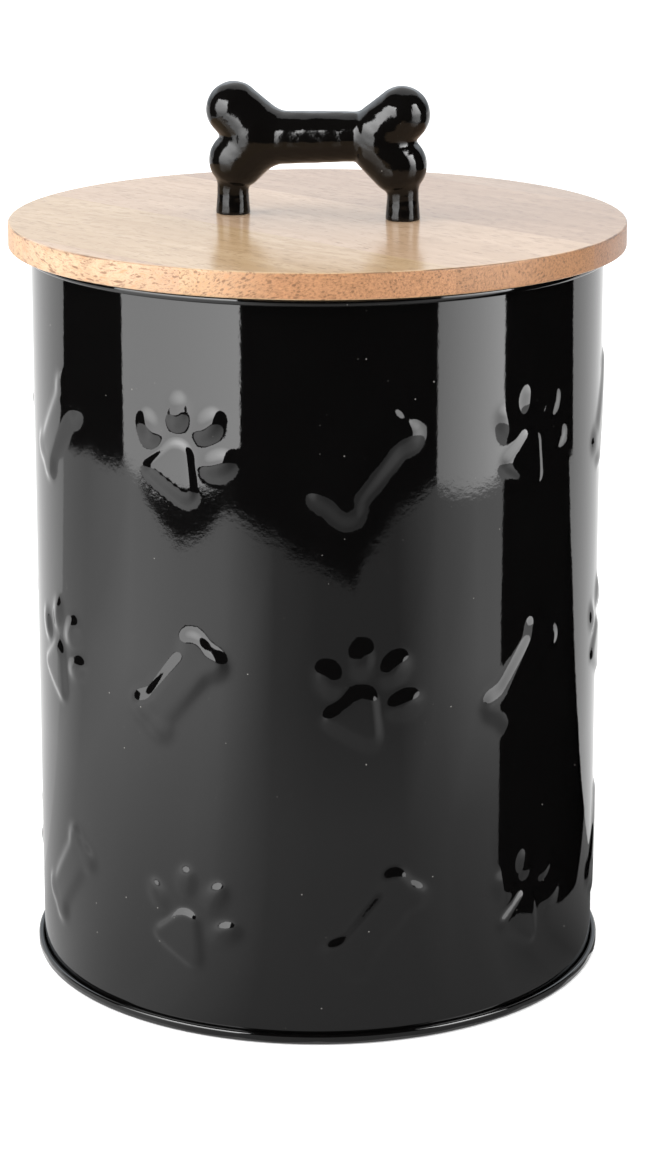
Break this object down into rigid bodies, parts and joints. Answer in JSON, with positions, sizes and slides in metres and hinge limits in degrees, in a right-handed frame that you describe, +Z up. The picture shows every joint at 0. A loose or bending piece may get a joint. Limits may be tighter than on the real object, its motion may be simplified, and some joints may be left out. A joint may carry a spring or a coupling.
{
  "type": "pet food bin",
  "caption": "Round embossed steel tin with a rolled rim and seamed base, and a lift-off glued wooden lid with a cast bone-shaped handle.",
  "frame": {"origin": "centre of the round base, on the surface it stands on", "axes": "+Z up the tin's axis, +X along the bone handle"},
  "size_m": [0.22, 0.22, 0.3188],
  "materials": {
    "black_enamel": "high gloss black enamel with a faint orange peel",
    "black_casting": "high gloss black paint over a lumpy casting",
    "stave_wood": "satin clear lacquer, open pores",
    "plug_wood": "oiled, open pores",
    "clear_silicone": "matt translucent silicone",
    "zinc_steel": "bright zinc plate"
  },
  "bodies": {
    "bin": {"bin_shell": "black_enamel", "rim_wire": "zinc_steel", "base_pan": "black_enamel"},
    "lid": {"lid_stave_1": "stave_wood", "lid_stave_2": "stave_wood", "lid_stave_3": "stave_wood", "lid_stave_4": "stave_wood", "lid_stave_5": "stave_wood", "lid_plug": "plug_wood", "lid_gasket": "clear_silicone", "bone_handle": "black_casting", "handle_screw_left": "zinc_steel", "handle_screw_right": "zinc_steel", "handle_washer_left": "zinc_steel", "handle_washer_right": "zinc_steel"}
  },
  "joints": [
    {"name": "lid_lift", "type": "slide", "parent": "bin", "child": "lid", "axis": [0, 0, 1], "range_m": [0, 0.16]}
  ]
}
